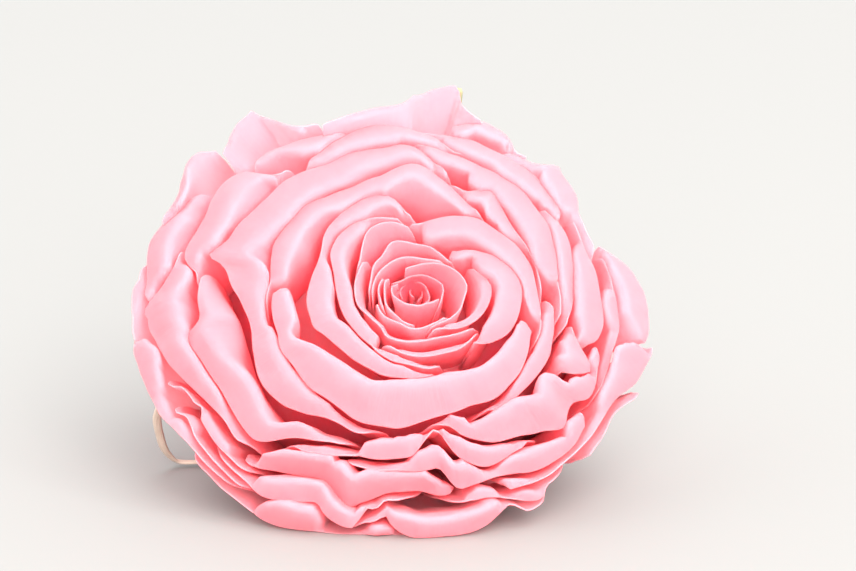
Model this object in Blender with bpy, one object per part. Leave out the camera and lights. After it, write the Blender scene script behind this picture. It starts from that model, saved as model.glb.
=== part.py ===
"""A preserved rose head, cut just below its calyx and lying on a surface with its face up and forward.

Lengths are in millimetres and angles in degrees. The flower is drawn upright, with its axis along Z,
and laid down at the end. A place on it is given by azimuth (counter-clockwise from +X, seen from
above the face), radius from the axis and height above the plane of its widest ring.
"""
import math

import bmesh
import bpy
import numpy as np
from mathutils import Matrix, Vector

METRE = 0.001

PETAL_COLOUR = (0.93, 0.55, 0.62)
CALYX_COLOUR = (0.62, 0.58, 0.36)
STEM_COLOUR = (0.48, 0.50, 0.28)
PETAL_ROUGHNESS = 0.55
GREEN_ROUGHNESS = 0.7
SHARP_ANGLE = 35.0

# How the head lies: its axis points up by this angle, and the surface flattens what touches it a little
AXIS_ELEVATION = 42.0
REST_FLAT_DEPTH = 0.7
# Side of the block that stands for what lies below the surface
SLAB_SIZE = 170.0

# The face: height of the petal rims above the widest ring, by radius
DOME = ((0, 9.2), (4, 9.6), (8, 10.3), (12, 10.8), (16, 10.6), (20, 9.6), (25, 7.8), (30, 5.0),
        (34, 2.2), (38, -1.5), (42, -6.0))
# The heart stands this far off the axis, and rims of this radius not at all
HEART_SHIFT = 3.5
HEART_REACH = 38.0
# Raising a rim slides it down the face by this much a millimetre, so that it hides the same petals
RISE_SLIDE = 0.51

PETAL_THICKNESS = 0.65
PETAL_BASE_HEIGHT = -24.0
BUD_BASE_HEIGHT = -16.0
PETAL_BASE_RADIUS = 6.5

# The dense middle that the petals grow from: radius and height of its outline, top to bottom
CORE_PROFILE = ((0, 2.8), (13, 3.0), (20, 0.5), (27, -5.5), (27.5, -12.5), (18, -20.9), (5.5, -26.8),
                (0, -26.8))
CORE_SIDES = 14
# Share by which the side that the head lies on is flatter, and how fast that ends towards the sides
PRESSED_CORE = 0.28
PRESSED_POWER = 1.5

# The hip below the petals, top to bottom, and the stub of stem below it, which ends on the surface
HIP_PROFILE = ((0, -27.1), (5.2, -27.1), (5.6, -28.2), (4.7, -29.8), (3.0, -30.8), (0, -30.8))
HIP_SIDES = 16
STEM_RADIUS = 2.5
STEM_TOP = -31.1
STEM_SIDES = 20

# Petals from the heart outward. Each row holds the width of its rolled lip (one value, or start,
# middle and end), how far the rim stands off the dome, and the rim itself as azimuth and radius.
BUD_PETALS = (
    (0, -0.8, ((-40, 2.6), (0, 2.1), (60, 1.8), (135, 1.8), (200, 1.6))),
    (0, -0.4, ((-30, 4.4), (15, 4.4), (45, 3.3), (90, 2.7), (150, 2.5))),
    (0, 0, ((150, 3.7), (180, 3.1), (225, 2.3), (270, 2.2), (300, 2.5), (340, 4.2))),
    (0, 0, ((150, 4.3), (195, 4.1), (240, 4.4), (275, 5.2))),
    (0, 0, ((205, 5.4), (255, 5.3), (285, 6.1), (315, 6.7))),
    (0, 0, ((-60, 6.2), (-40, 7.3), (-15, 8.0), (3, 8.4), (20, 7.7), (40, 6.7), (60, 5.3), (100, 4.0))),
    (0, 0, ((50, 5.6), (90, 5.5), (135, 5.6), (190, 5.4))),
    (0, 0, ((42, 6.5), (60, 7.4), (90, 7.7), (110, 8.2), (130, 6.9), (150, 6.5), (175, 6.5))),
    (1.3, 0, ((-60, 7.3), (-40, 9.6), (-20, 11.6), (0, 11.8), (15, 10.0))),
    (0.4, 0, ((92, 10.0), (110, 11.0), (125, 10.5), (143, 8.8))),
    (0.8, 0, ((148, 8.0), (180, 7.8), (235, 7.1), (260, 8.0), (290, 8.6), (310, 9.7), (322, 10.7))),
    (1.0, 0, ((255, 9.2), (270, 10.6), (290, 11.3), (308, 12.0), (320, 12.2))),
)
INNER_PETALS = (
    (1.7, 0, ((100, 11.3), (120, 12.4), (140, 12.9), (155, 12.2), (172, 10.5), (190, 9.9),
              (220, 9.9), (250, 10.9), (285, 13.3))),
    (3.0, 0, ((91, 12.8), (97, 14.7), (110, 15.8), (135, 15.4), (160, 13.6), (190, 14.0),
              (215, 13.6), (250, 13.9), (280, 14.4))),
    (3.5, 0, ((-42, 13.0), (-30, 16.7), (-16, 17.2), (0, 16.0), (15, 14.3), (33, 11.2), (45, 8.8))),
    (2.5, 0, ((-22, 20.5), (0, 19.8), (18, 18.8), (32, 17.6), (50, 14.8), (62, 12.9), (86, 10.4))),
    ((3.5, 5.5, 3.0), 0, ((184, 18.8), (203, 18.9), (218, 19.8), (247, 20.4), (256, 21.4),
                          (282, 21.4), (305, 20.9), (326, 20.0), (342, 18.6))),
    (1.5, 0, ((52, 16.5), (65, 18.2), (78, 20.2), (90, 20.4), (105, 18.8), (120, 18.6),
              (132, 19.8), (150, 19.5), (183, 19.2))),
    (1.5, 0, ((3, 20.0), (22, 19.4), (40, 19.8), (50, 21.0), (56, 19.8), (64, 18.3))),
)
MIDDLE_PETALS = (
    (2.0, 0, ((76, 21.6), (85, 24.4), (106, 25.3), (120, 24.3), (147, 25.2), (156, 26.3), (163, 27.8))),
    ((1.5, 3.5, 3.5), 0, ((160, 27.0), (170, 25.0), (187, 22.6), (211, 23.2), (222, 23.3),
                          (238, 22.2), (255, 22.6))),
    (2.0, 0, ((25, 23.6), (45, 24.9), (60, 24.1), (75, 23.7), (84, 22.6))),
    (2.0, 0, ((308, 22.6), (324, 23.2), (336, 23.0), (352, 22.5))),
    (2.0, 0, ((-20, 24.5), (-10, 25.4), (0, 25.2), (20, 24.7), (32, 24.6))),
    (2.5, 0, ((247, 25.4), (254, 25.9), (270, 25.4), (283.5, 23.6), (290, 26.4), (297, 27.6), (307, 27.2))),
    ((4.5, 4.5, 1.5), 0, ((188, 30.6), (201, 29.6), (211, 28.4), (225, 28.7), (233, 27.0),
                          (242, 24.8))),
    (2.0, 0, ((34, 28.4), (52, 28.6), (64, 28.6), (75, 27.2), (80, 26.0))),
    (2.0, 0, ((70, 24.3), (79, 26.9), (93, 29.7), (103, 29.1), (118, 26.8))),
    (2.0, 0, ((128, 27.2), (137, 32.2), (149, 30.9), (159, 31.6), (171, 30.2), (180, 29.0))),
    (2.0, 0, ((292, 23.8), (301, 25.7), (309, 27.6), (322, 30.4), (330, 29.8), (344, 29.2))),
    (2.0, 0, ((-14, 29.6), (-6, 29.3), (4, 28.8), (15, 28.6), (27, 28.8))),
)
OUTER_PETALS = (
    (3.0, 0, ((222, 31.8), (236, 30.5), (250, 30.3), (258, 31.8), (267, 29.6), (278, 29.0), (284, 29.4))),
    (2.5, 0, ((279, 29.2), (288, 30.0), (303, 30.4), (318, 32.2), (332, 31.8))),
    (2.0, 0, ((-32, 31.8), (-22, 33.0), (-14, 32.6), (-4, 32.0), (6, 31.4))),
    (2.0, 0, ((50, 30.0), (57, 32.6), (64, 34.6), (71, 33.6), (80, 31.4))),
    (2.0, 0, ((162, 30.5), (171, 33.3), (178, 35.8), (184, 34.8), (192, 33.4))),
    (1.5, 0, ((98, 29.6), (110, 30.2), (119, 31.0), (126, 31.6))),
    (2.5, 0.6, ((292, 31.0), (300, 31.9), (308, 32.6), (316, 32.2))),
    (2.5, 0, ((218, 33.4), (233, 34.0), (248, 33.4), (256, 35.0), (262, 32.8), (267, 31.2))),
)
GUARD_PETALS = (
    (3.0, 0, ((268, 33.2), (277, 35.1), (287, 35.6), (298, 34.4), (303, 33.6))),
    (1.5, 0, ((222, 35.0), (232, 36.1), (242, 36.4), (254, 35.2), (264, 33.8), (270, 32.6))),
    (2.0, 0, ((298, 33.6), (312, 34.1), (326, 34.4), (337, 36.8), (344, 37.8), (350, 38.0))),
    (2.0, 0, ((-5, 37.8), (1, 37.4), (6, 36.8), (14, 34.7), (22, 32.0))),
    (1.5, 0, ((24, 31.6), (30, 31.0), (36, 33.0), (43, 34.2), (50, 31.8), (58, 30.6))),
    (1.5, 3.0, ((66, 32.5), (70, 33.6), (76, 37.2), (79, 38.4), (85, 35.8), (95, 33.4), (102, 32.6))),
    (1.5, 3.0, ((104, 31.6), (110, 32.6), (117, 36.2), (121, 38.4), (127, 36.4), (130, 35.4))),
    (2.0, 0, ((126, 35.2), (131, 38.0), (137, 40.2), (145, 38.4), (153, 36.4))),
    (2.0, 0, ((151, 36.0), (161, 37.1), (171, 36.7), (178, 36.0))),
    (2.0, 0, ((174, 36.8), (181, 37.5), (196, 36.2), (214, 35.4), (220, 35.4))),
)

ALL_PETALS = BUD_PETALS + INNER_PETALS + MIDDLE_PETALS + OUTER_PETALS + GUARD_PETALS

# Each group of petals: its petals, the rows of points from root to lip, the degrees past the seen part
# of its rim where a petal has points, and how far its first edge stands out over its neighbour while
# its last edge tucks in behind the next one
BUD = (BUD_PETALS, (0.65, 1.0), (12.0,), 0.15)
INNER = (INNER_PETALS, (0.4, 0.65, 0.83, 1.0), (9.0, 4.5), 0.6)
MIDDLE = (MIDDLE_PETALS, (0.45, 0.65, 0.83, 1.0), (7.0,), 0.6)
OUTER = (OUTER_PETALS, (0.5, 0.68, 0.84, 1.0), (9.0, 4.5), 0.6)
GUARD = (GUARD_PETALS, (0.1, 0.35, 0.6, 0.82, 1.0), (9.0, 4.5), 0.75)

# Shape of a petal from root to lip, as shares of its reach and rise: free, and where it is pressed
# by the surface
ROOT_REACH = (0.62, 0.28)
ROOT_RISE = (0.05, 0.24)
BELLY_REACH = (0.92, 0.70)
BELLY_RISE = (0.55, 0.60)
# A petal whose rim lies at this radius, or further out, grows from the bottom of the core
FULL_ROOT_RADIUS = 30.0

# The rolled lip: its slope, how much rounder than that it is, and the width at which it is a full roll
LIP_RISE = 0.35
LIP_ROUND = 0.6
LIP_FULL = 1.5
# It narrows to this share at a petal's ends, over this share of the rim
LIP_END = 0.4
LIP_FADE = 0.3
# A petal with no lip ends upright over this length
UPRIGHT_REACH = 3.0
# A lip stays this far from the next rim inside it. Rims closer than the second value are one layer.
PETAL_CLEARANCE = 0.95
SAME_LAYER = 0.3
# How far a petal's edge falls at its two ends
TAIL_FALL = 0.5

# Corners closer than this are one, and faces within this angle of each other are one flat face
WELD = 0.003
FLAT_ANGLE = 3.0

# Sepals: azimuth, half-width at the root, and the middle line as radius and height
SEPAL_THICKNESS = 0.8
SEPAL_TIP = 0.35
SEPAL_TAPER = 0.8
SEPAL_KEEL = 0.5
SEPALS = (
    (76, 2.8, ((4.0, -28.4), (14, -26.6), (26, -21.6), (34.5, -13.0), (37.6, -5.0), (38.2, 0.0))),
    (150, 3.2, ((4.0, -28.4), (11, -29.0), (17, -27.6), (22, -24.6))),
    (6, 3.2, ((4.0, -28.4), (11, -29.6), (18, -29.6), (24, -27.4))),
    (300, 2.4, ((4.0, -28.4), (7.5, -27.2), (10.5, -25.6))),
)
# The fifth sepal has dried to a thread that curls on the surface: across, back and above the surface,
# from the flower's widest ring
THREAD_WIDTH = 1.1
THREAD_THICKNESS = 0.7
THREAD = ((-2.5, 20.5, 6.2), (-9, 19.0, 4.6), (-17, 15.5, 2.2), (-24, 11.5, 0.9), (-28.2, 9.5, 0.8),
          (-31.8, 9.4, 0.9), (-33.5, 7.2, 3.2), (-34.2, 4.4, 6.8), (-34.3, 2.2, 9.6), (-33.7, 0.2, 12.0))
# Straight pieces between two neighbouring points of a sepal's or the thread's middle line
LINE_PIECES = 2


def clear_scene():
    for item in list(bpy.data.objects):
        bpy.data.objects.remove(item, do_unlink=True)


def material(name, colour, roughness):
    made = bpy.data.materials.new(name)
    made.use_nodes = True
    shader = made.node_tree.nodes["Principled BSDF"]
    shader.inputs["Base Color"].default_value = (*colour, 1.0)
    shader.inputs["Roughness"].default_value = roughness
    shader.inputs["Metallic"].default_value = 0.0
    return made


def smooth_curve(points, at):
    """Height of a smooth curve through the points, with no overshoot past them."""
    xs = np.array([p[0] for p in points], float)
    ys = np.array([p[1] for p in points], float)
    steps = np.diff(ys) / np.diff(xs)
    slopes = np.zeros(len(xs))
    for i in range(1, len(xs) - 1):
        if steps[i - 1] * steps[i] > 0:
            slopes[i] = 2 * steps[i - 1] * steps[i] / (steps[i - 1] + steps[i])
    x = min(max(at, xs[0]), xs[-1])
    i = min(int(np.searchsorted(xs, x, side="right")) - 1, len(xs) - 2)
    width = xs[i + 1] - xs[i]
    t = (x - xs[i]) / width
    return ((1 + 2 * t) * (1 - t) ** 2 * ys[i] + t * (1 - t) ** 2 * width * slopes[i]
            + t * t * (3 - 2 * t) * ys[i + 1] + t * t * (t - 1) * width * slopes[i + 1])


def mix(a, b, share):
    return a + (b - a) * share


def dome(radius):
    return smooth_curve(DOME, radius)


def rim_point(azimuth, radius, lift):
    """A point of the face at a radius, raised off the dome by a lift."""
    a = math.radians(azimuth)
    shift = HEART_SHIFT * max(0.0, 1 - radius / HEART_REACH)
    return np.array([shift + radius * math.cos(a),
                     radius * math.sin(a) - RISE_SLIDE * lift,
                     dome(radius) + lift])


def spline(controls, t):
    """A smooth curve from the first of five control points to the last."""
    root, low, belly, crown, lip = controls
    low_mid = (low + belly) / 2
    high_mid = (belly + crown) / 2
    joint = (low_mid + high_mid) / 2
    if t < 0.5:
        a, b, c, d = root, low, low_mid, joint
        v = 2 * t
    else:
        a, b, c, d = joint, high_mid, crown, lip
        v = 2 * t - 1
    return (1 - v) ** 3 * a + 3 * v * (1 - v) ** 2 * b + 3 * v * v * (1 - v) * c + v ** 3 * d


def lip_width(lip, share):
    """Width of the rolled lip at a share of the way along the rim."""
    if not isinstance(lip, tuple):
        return lip
    return smooth_curve(((0.0, lip[0]), (0.5, lip[1]), (1.0, lip[2])), share)


def covers(row, azimuth):
    """The azimuth as the row counts it, or None where the petal's rim doesn't pass."""
    for turn in (-360, 0, 360):
        if row[2][0][0] <= azimuth + turn <= row[2][-1][0]:
            return azimuth + turn
    return None


def room_inside(row, azimuth, radius):
    """Distance from a rim to the next rim inside it."""
    nearest = 0.0
    for other in ALL_PETALS:
        place = covers(other, azimuth)
        if other is row or place is None:
            continue
        inner = smooth_curve(other[2], place)
        if inner < radius - SAME_LAYER:
            nearest = max(nearest, inner)
    return radius - nearest


def petal_controls(row, azimuth, outside, twist):
    """Five points that shape a petal at an azimuth, from its root to the edge of its lip."""
    lip, lift, rim = row
    first, last = rim[0][0], rim[-1][0]
    share = min(max((azimuth - first) / (last - first), 0.0), 1.0)
    swing = twist * (1 - 2 * share)
    radius = smooth_curve(rim, azimuth) + swing
    fade = min(1.0, LIP_END + share / LIP_FADE, LIP_END + (1 - share) / LIP_FADE)
    width = lip_width(lip, share) * fade * (1 - outside ** 2)
    width = max(0.0, min(width, room_inside(row, azimuth, radius) - PETAL_CLEARANCE))
    edge = rim_point(azimuth, radius, lift)
    rolled = rim_point(azimuth, radius - width, lift + LIP_RISE * width)
    rolled[2] += LIP_ROUND * (rolled[2] - edge[2])
    upright = edge - np.array([0.0, 0.0, UPRIGHT_REACH])
    crown = mix(upright, rolled, min(width / LIP_FULL, 1.0))
    mean_radius = sum(r for _, r in rim) / len(rim)
    depth = min(mean_radius / FULL_ROOT_RADIUS, 1.0)
    spread = PETAL_BASE_RADIUS * depth + swing
    a = math.radians(azimuth)
    root = np.array([spread * math.cos(a), spread * math.sin(a),
                     mix(BUD_BASE_HEIGHT, PETAL_BASE_HEIGHT, depth) - swing])
    pressed = pressed_share(a)
    rise = edge[2] - root[2]
    low = mix(root, edge, mix(*ROOT_REACH, pressed))
    low[2] = root[2] + rise * mix(*ROOT_RISE, pressed)
    belly = mix(root, crown, mix(*BELLY_REACH, pressed))
    belly[2] = root[2] + rise * mix(*BELLY_RISE, pressed)
    return root, low, belly, crown, edge


def petal_grid(row, rows, tails, twist):
    """Points of a petal's middle surface, root to lip in a column at each point of its rim."""
    rim = row[2]
    places = [(rim[0][0] - tail, tail / tails[0]) for tail in tails]
    places += [(azimuth, 0.0) for azimuth, _ in rim]
    places += [(rim[-1][0] + tail, tail / tails[0]) for tail in reversed(tails)]
    grid = np.zeros((len(places), len(rows), 3))
    for i, (azimuth, outside) in enumerate(places):
        controls = petal_controls(row, azimuth, outside, twist)
        fall = 1 - TAIL_FALL * outside ** 2
        for j, t in enumerate(rows):
            grid[i, j] = spline(controls, mix(rows[0], t, fall))
    return grid


def curve_through(points, pieces):
    """Points along a smooth curve through the given ones, with so many pieces between neighbours."""
    points = [np.array(point, float) for point in points]
    ends = [2 * points[0] - points[1]] + points + [2 * points[-1] - points[-2]]
    line = []
    for before, here, there, after in zip(ends, ends[1:], ends[2:], ends[3:]):
        for k in range(pieces):
            t = k / pieces
            line.append(here + 0.5 * t * (there - before + t * (2 * before - 5 * here + 4 * there - after
                                          + t * (3 * here - before - 3 * there + after))))
    return line + [points[-1]]


def ribbon_grid(line, sides, widths, keel):
    """Middle surface of a strip along a line, bent along its middle by a keel."""
    grid = np.zeros((3, len(line), 3))
    ahead = np.gradient(np.array(line), axis=0)
    for j, (point, side, width) in enumerate(zip(line, sides, widths)):
        out = np.cross(side, ahead[j])
        out /= np.linalg.norm(out)
        grid[0, j] = point - side * width
        grid[1, j] = point + out * keel * width / widths[0]
        grid[2, j] = point + side * width
    return grid


def blade_mesh(name, grid, thickness):
    """A closed blade round a middle surface, split into triangles alike on both faces."""
    across, along = grid.shape[:2]
    du = np.gradient(grid, axis=0)
    dv = np.gradient(grid, axis=1)
    normal = np.cross(du, dv)
    normal /= np.linalg.norm(normal, axis=2, keepdims=True)
    faces_points = (grid + normal * thickness / 2, grid - normal * thickness / 2)
    points = np.concatenate([side.reshape(-1, 3) for side in faces_points])
    count = across * along

    def index(side, i, j):
        return side * count + i * along + j

    triangles = []
    for i in range(across - 1):
        for j in range(along - 1):
            for side in (0, 1):
                a, b = index(side, i, j), index(side, i + 1, j)
                c, d = index(side, i + 1, j + 1), index(side, i, j + 1)
                pair = ((a, b, c), (a, c, d))
                triangles += pair if side == 0 else [t[::-1] for t in pair]
    border = [(i, 0) for i in range(across)] + [(across - 1, j) for j in range(1, along)]
    border += [(i, along - 1) for i in range(across - 2, -1, -1)] + [(0, j) for j in range(along - 2, 0, -1)]
    for here, there in zip(border, border[1:] + border[:1]):
        a, b = index(0, *here), index(0, *there)
        c, d = index(1, *there), index(1, *here)
        triangles += [(b, a, d), (b, d, c)]
    mesh = bpy.data.meshes.new(name)
    mesh.from_pydata(points.tolist(), [], triangles)
    mesh.update()
    return mesh


def pressed_share(angle):
    """How far a direction faces the surface that the head lies on, from 0 to 1."""
    return max(0.0, -math.sin(angle)) ** PRESSED_POWER


def turned_mesh(name, profile, sides, pressed=0.0):
    """A solid turned about Z from a profile that starts and ends on the axis, flatter where pressed."""
    build = bmesh.new()
    rings = []
    for radius, height in profile:
        turns = 1 if radius == 0 else sides
        ring = []
        for k in range(turns):
            angle = 2 * math.pi * k / sides
            reach = radius * (1 - pressed * pressed_share(angle))
            ring.append(build.verts.new((reach * math.cos(angle), reach * math.sin(angle), height)))
        rings.append(ring)
    for upper, lower in zip(rings, rings[1:]):
        for k in range(sides):
            n = (k + 1) % sides
            corners = [upper[0] if len(upper) == 1 else upper[k], lower[0] if len(lower) == 1 else lower[k]]
            if len(lower) > 1:
                corners.append(lower[n])
            if len(upper) > 1:
                corners.append(upper[n])
            build.faces.new(corners)
    bmesh.ops.triangulate(build, faces=build.faces[:])
    bmesh.ops.recalc_face_normals(build, faces=build.faces[:])
    mesh = bpy.data.meshes.new(name)
    build.to_mesh(mesh)
    build.free()
    return mesh


def new_object(name, mesh, collection=None):
    made = bpy.data.objects.new(name, mesh)
    (collection or bpy.context.scene.collection).objects.link(made)
    return made


def new_collection(name):
    made = bpy.data.collections.new(name)
    bpy.context.scene.collection.children.link(made)
    return made


def combine(target, collection, operation="UNION"):
    """Join a collection's objects to the target, or cut them from it, and remove them."""
    join = target.modifiers.new("combine", "BOOLEAN")
    join.operation = operation
    join.solver = "EXACT"
    join.operand_type = "COLLECTION"
    join.collection = collection
    graph = bpy.context.evaluated_depsgraph_get()
    result = bpy.data.meshes.new_from_object(target.evaluated_get(graph))
    target.modifiers.remove(join)
    target.data = result
    for item in list(collection.objects):
        bpy.data.objects.remove(item, do_unlink=True)
    bpy.data.collections.remove(collection)


def keep_main_body(target):
    """Fill hollows that the join sealed, and drop loose scraps: only the largest skin stays."""
    build = bmesh.new()
    build.from_mesh(target.data)
    bmesh.ops.triangulate(build, faces=build.faces[:])
    left = set(build.faces)
    skins = []
    while left:
        seed = left.pop()
        skin, edge = [seed], [seed]
        while edge:
            face = edge.pop()
            for side in face.edges:
                for other in side.link_faces:
                    if other in left:
                        left.remove(other)
                        skin.append(other)
                        edge.append(other)
        skins.append(skin)
    skins.sort(key=len, reverse=True)
    spare = [face for skin in skins[1:] for face in skin]
    bmesh.ops.delete(build, geom=spare, context="FACES")
    build.to_mesh(target.data)
    build.free()


def merge_flat_faces(target):
    """Weld what a join left closer than a hair, and merge the faces that lie nearly flat together."""
    build = bmesh.new()
    build.from_mesh(target.data)
    bmesh.ops.remove_doubles(build, verts=build.verts[:], dist=WELD * METRE)
    bmesh.ops.dissolve_limit(build, angle_limit=math.radians(FLAT_ANGLE), verts=build.verts[:],
                             edges=build.edges[:])
    bmesh.ops.triangulate(build, faces=build.faces[:])
    build.to_mesh(target.data)
    build.free()


def laid_down():
    """The turn that lays the upright flower on its side."""
    return Matrix.Rotation(math.radians(90 - AXIS_ELEVATION), 4, "X")


def lowest(target):
    turn = laid_down()
    return min((turn @ vertex.co).z for vertex in target.data.vertices)


def lay_down(target, surface):
    """Lay an upright piece on the surface, in metres."""
    drop = Matrix.Translation((0, 0, -surface))
    target.data.transform(Matrix.Scale(METRE, 4) @ drop @ laid_down())
    target.data.update()


def flatten_rest(target):
    """Cut off what lies below the surface, which leaves small flat spots to rest on."""
    size = SLAB_SIZE * METRE
    build = bmesh.new()
    bmesh.ops.create_cube(build, size=size, matrix=Matrix.Translation((0, 0, -size / 2)))
    mesh = bpy.data.meshes.new("below_surface")
    build.to_mesh(mesh)
    build.free()
    below = new_collection("below")
    new_object("below_surface", mesh, below)
    combine(target, below, "DIFFERENCE")


def build_bloom():
    petals = new_collection("petals")
    for group, steps, tails, twist in (BUD, INNER, MIDDLE, OUTER, GUARD):
        for row in group:
            grid = petal_grid(row, steps, tails, twist)
            new_object("petal", blade_mesh("petal", grid, PETAL_THICKNESS), petals)
    bloom = new_object("bloom", turned_mesh("bloom", CORE_PROFILE, CORE_SIDES, PRESSED_CORE))
    combine(bloom, petals)
    keep_main_body(bloom)
    return bloom


def build_calyx(surface):
    sepals = new_collection("sepals")
    for azimuth, half_width, middle in SEPALS:
        a = math.radians(azimuth)
        line = curve_through([(r * math.cos(a), r * math.sin(a), h) for r, h in middle], LINE_PIECES)
        side = np.array([-math.sin(a), math.cos(a), 0.0])
        shares = [(j / (len(line) - 1)) ** SEPAL_TAPER for j in range(len(line))]
        widths = [mix(half_width, SEPAL_TIP, share) for share in shares]
        grid = ribbon_grid(line, [side] * len(line), widths, -SEPAL_KEEL)
        new_object("sepal", blade_mesh("sepal", grid, SEPAL_THICKNESS), sepals)
    upright = laid_down().inverted()
    lying = curve_through(THREAD, LINE_PIECES)
    line = [np.array(upright @ Vector((x, y, z + surface))) for x, y, z in lying]
    ahead = np.gradient(np.array(line), axis=0)
    up = np.array(upright @ Vector((0, 0, 1)))
    sides = [np.cross(step, up) / np.linalg.norm(np.cross(step, up)) for step in ahead]
    grid = ribbon_grid(line, sides, [THREAD_WIDTH / 2] * len(line), 0.0)
    new_object("thread", blade_mesh("thread", grid, THREAD_THICKNESS), sepals)
    calyx = new_object("calyx", turned_mesh("calyx", HIP_PROFILE, HIP_SIDES))
    combine(calyx, sepals)
    keep_main_body(calyx)
    return calyx


def build_stem(surface):
    """A stub whose cut end reaches down to the surface at its lower edge."""
    tilt = math.radians(AXIS_ELEVATION)
    end = (surface + STEM_RADIUS * math.cos(tilt)) / math.sin(tilt)
    profile = ((0, STEM_TOP), (STEM_RADIUS, STEM_TOP), (STEM_RADIUS, end), (0, end))
    return new_object("stem_stub", turned_mesh("stem_stub", profile, STEM_SIDES))


def centre_on_origin(pieces):
    """Move the pieces so that the bottom of their common box has its middle at the origin."""
    points = np.array([vertex.co for piece in pieces for vertex in piece.data.vertices])
    middle = (points.min(axis=0) + points.max(axis=0)) / 2
    for piece in pieces:
        piece.data.transform(Matrix.Translation((-middle[0], -middle[1], 0)))
        piece.data.update()


def finish(target, colour, roughness):
    target.data.materials.clear()
    target.data.materials.append(material(target.name + "_finish", colour, roughness))
    target.data.shade_smooth()
    target.data.set_sharp_from_angle(angle=math.radians(SHARP_ANGLE))


def main():
    clear_scene()
    bloom = build_bloom()
    surface = lowest(bloom) + REST_FLAT_DEPTH
    calyx = build_calyx(surface)
    stem = build_stem(surface - REST_FLAT_DEPTH)
    for piece in (bloom, calyx, stem):
        lay_down(piece, surface)
    flatten_rest(bloom)
    flatten_rest(stem)
    for piece in (bloom, calyx, stem):
        merge_flat_faces(piece)
    centre_on_origin((bloom, calyx, stem))
    finish(bloom, PETAL_COLOUR, PETAL_ROUGHNESS)
    finish(calyx, CALYX_COLOUR, GREEN_ROUGHNESS)
    finish(stem, STEM_COLOUR, GREEN_ROUGHNESS)


main()
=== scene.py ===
"""The look of the preserved rose head: fine petals, calyx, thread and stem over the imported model.

Lengths are in millimetres and angles in degrees. The flower is drawn upright, with its axis along Z,
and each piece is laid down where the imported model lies. A place on the face is given by azimuth
(counter-clockwise from +X, seen from above the face), radius from the axis and height above the plane
of the widest ring.
"""
import math

import bpy
import numpy as np
from mathutils import Matrix, Vector, noise


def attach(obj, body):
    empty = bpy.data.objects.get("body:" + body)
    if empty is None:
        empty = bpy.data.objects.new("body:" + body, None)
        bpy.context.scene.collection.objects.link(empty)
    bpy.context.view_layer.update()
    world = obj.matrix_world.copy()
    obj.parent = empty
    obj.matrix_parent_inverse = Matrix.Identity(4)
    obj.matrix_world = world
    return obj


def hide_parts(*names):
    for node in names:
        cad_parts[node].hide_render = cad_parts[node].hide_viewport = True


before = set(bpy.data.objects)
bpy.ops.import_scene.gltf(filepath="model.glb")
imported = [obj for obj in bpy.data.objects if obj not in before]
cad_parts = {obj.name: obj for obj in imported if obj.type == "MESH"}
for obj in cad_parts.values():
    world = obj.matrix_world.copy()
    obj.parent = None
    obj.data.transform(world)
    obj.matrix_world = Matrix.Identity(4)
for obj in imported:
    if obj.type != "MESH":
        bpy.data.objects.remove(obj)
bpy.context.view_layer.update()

METRE = 0.001
TINY = 1e-9
PHOTO_WIDTH = 856
PHOTO_HEIGHT = 571

# How the head lies: the middle of its widest ring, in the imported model's frame, and its axis
RING_CENTRE = np.array([-0.32, -4.53, 24.92])
AXIS_ELEVATION = 42.0
TURN = math.radians(90 - AXIS_ELEVATION)
TURN_COS, TURN_SIN = math.cos(TURN), math.sin(TURN)

# The camera: its height over the horizon, its distance from the ring, pixels across a millimetre
# there, and where the ring's middle shows in the photo
CAMERA_ELEVATION = 15.0
CAMERA_DISTANCE = 600.0
PIXELS_PER_MM = 6.9
RING_PIXEL = (391.0, 322.0)
SENSOR_WIDTH = 36.0
NEAREST_SEEN = 10.0

# The face: height of the petal rims above the widest ring, by radius
DOME = ((0, 9.2), (4, 9.6), (8, 10.3), (12, 10.8), (16, 10.6), (20, 9.6), (25, 7.8), (30, 5.0),
        (34, 2.2), (38, -1.5), (42, -6.0))
# The heart stands this far off the axis, and rims of this radius not at all
HEART_SHIFT = 3.5
HEART_REACH = 38.0
# Raising a rim slides it down the face by this much a millimetre, so that it hides the same petals
RISE_SLIDE = 0.51

# What would go below the surface is pressed flat on it: the least height left, and over what height
REST_GAP = 0.02
REST_SOFTNESS = 0.5

# Thickness of a petal, thickness at its margin, and how far in from there it is full
PETAL_THICKNESS = 0.42
MARGIN_THICKNESS = 0.22
MARGIN_REACH = 6.0
# Where petals grow from inside the core: height of the outermost and of the bud, and radius
PETAL_BASE_HEIGHT = -24.0
BUD_BASE_HEIGHT = -16.0
PETAL_BASE_RADIUS = 6.5
# By its name, each piece reads the noises of its material at one of this many places
SEEDS = 97

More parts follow.
